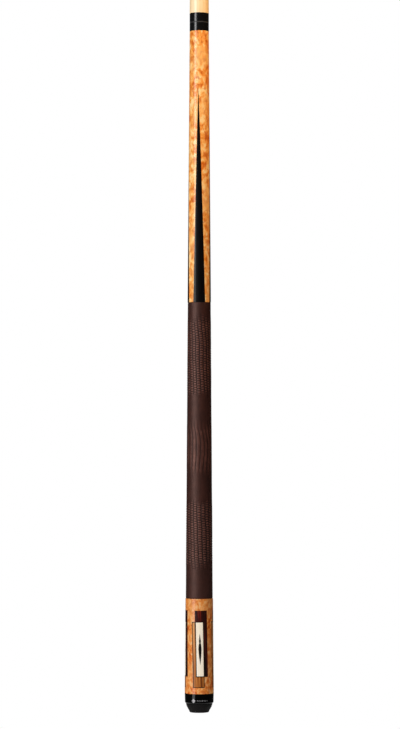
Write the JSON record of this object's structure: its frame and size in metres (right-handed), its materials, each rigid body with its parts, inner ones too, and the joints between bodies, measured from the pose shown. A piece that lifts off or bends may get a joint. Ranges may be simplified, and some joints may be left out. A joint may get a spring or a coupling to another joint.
{
  "type": "pool cue",
  "caption": "Two-piece pool cue: maple shaft screwed to a butt with a pointed forearm, leather wrap, inlaid sleeve, black cap and rubber bumper.",
  "frame": {"origin": "centre of the rubber bumper's flat foot", "axes": "+Z along the cue from the bumper to the tip; -Y is the side with a point and an inlaid window facing it square on; +X to that side's right"},
  "size_m": [0.0316, 0.0316, 1.4832],
  "materials": {
    "tip_leather": "matt, chalk-dusted",
    "fibre": "satin",
    "ferrule_white": "polished",
    "shaft_maple": "satin, sealed",
    "black_phenolic": "polished",
    "brass": "machined",
    "steel": "machined",
    "figured_maple": "high gloss lacquer",
    "black_wood": "high gloss lacquer",
    "core_maple": "plain",
    "wrap_leather": "embossed reptile grain, satin",
    "rosewood": "high gloss lacquer",
    "striped_wood": "high gloss lacquer",
    "ivory_resin": "high gloss lacquer",
    "rubber": "matt"
  },
  "bodies": {
    "butt": {"joint_pin": "steel", "butt_collar": "black_phenolic", "forearm": "figured_maple", "forearm_point_1": "black_wood", "forearm_point_2": "black_wood", "forearm_point_3": "black_wood", "forearm_point_4": "black_wood", "connecting_screw": "steel", "handle_core": "core_maple", "wrap": "wrap_leather", "butt_sleeve": "figured_maple", "rosewood_inlay_1": "rosewood", "rosewood_inlay_2": "rosewood", "rosewood_inlay_3": "rosewood", "rosewood_inlay_4": "rosewood", "veneer_line_1": "black_wood", "veneer_line_2": "black_wood", "veneer_line_3": "black_wood", "veneer_line_4": "black_wood", "striped_inlay_1": "striped_wood", "striped_inlay_2": "striped_wood", "striped_inlay_3": "striped_wood", "striped_inlay_4": "striped_wood", "ivory_plate_1": "ivory_resin", "ivory_plate_2": "ivory_resin", "ivory_plate_3": "ivory_resin", "ivory_plate_4": "ivory_resin", "spear_1": "black_wood", "spear_2": "black_wood", "spear_3": "black_wood", "spear_4": "black_wood", "butt_cap": "black_phenolic", "weight_bolt": "steel"},
    "shaft_collar": {"shaft_collar": "black_phenolic"},
    "shaft": {"shaft": "shaft_maple", "shaft_insert": "brass", "ferrule": "ferrule_white", "tip_pad": "fibre", "tip": "tip_leather"},
    "bumper_washer": {"bumper_washer": "steel"},
    "bumper": {"bumper": "rubber", "bumper_stud": "steel"}
  },
  "joints": [
    {"name": "shaft_advance", "type": "slide", "parent": "butt", "child": "shaft_collar", "axis": [0, 0, 1], "range_m": [0, 0.03175]},
    {"name": "shaft_turn", "type": "hinge", "parent": "shaft_collar", "child": "shaft", "pos_m": [0, 0, 0.7466], "axis": [0, 0, 1], "range_deg": [0, 4500]},
    {"name": "bumper_advance", "type": "slide", "parent": "butt", "child": "bumper_washer", "axis": [0, 0, -1], "range_m": [0, 0.01588]},
    {"name": "bumper_turn", "type": "hinge", "parent": "bumper_washer", "child": "bumper", "pos_m": [0, 0, 0.01], "axis": [0, 0, -1], "range_deg": [0, 3600]}
  ],
  "couplings": [
    {"joint": "shaft_turn", "follows": "shaft_advance", "rad_per_m": 2473.7},
    {"joint": "bumper_turn", "follows": "bumper_advance", "rad_per_m": 3957.9}
  ]
}
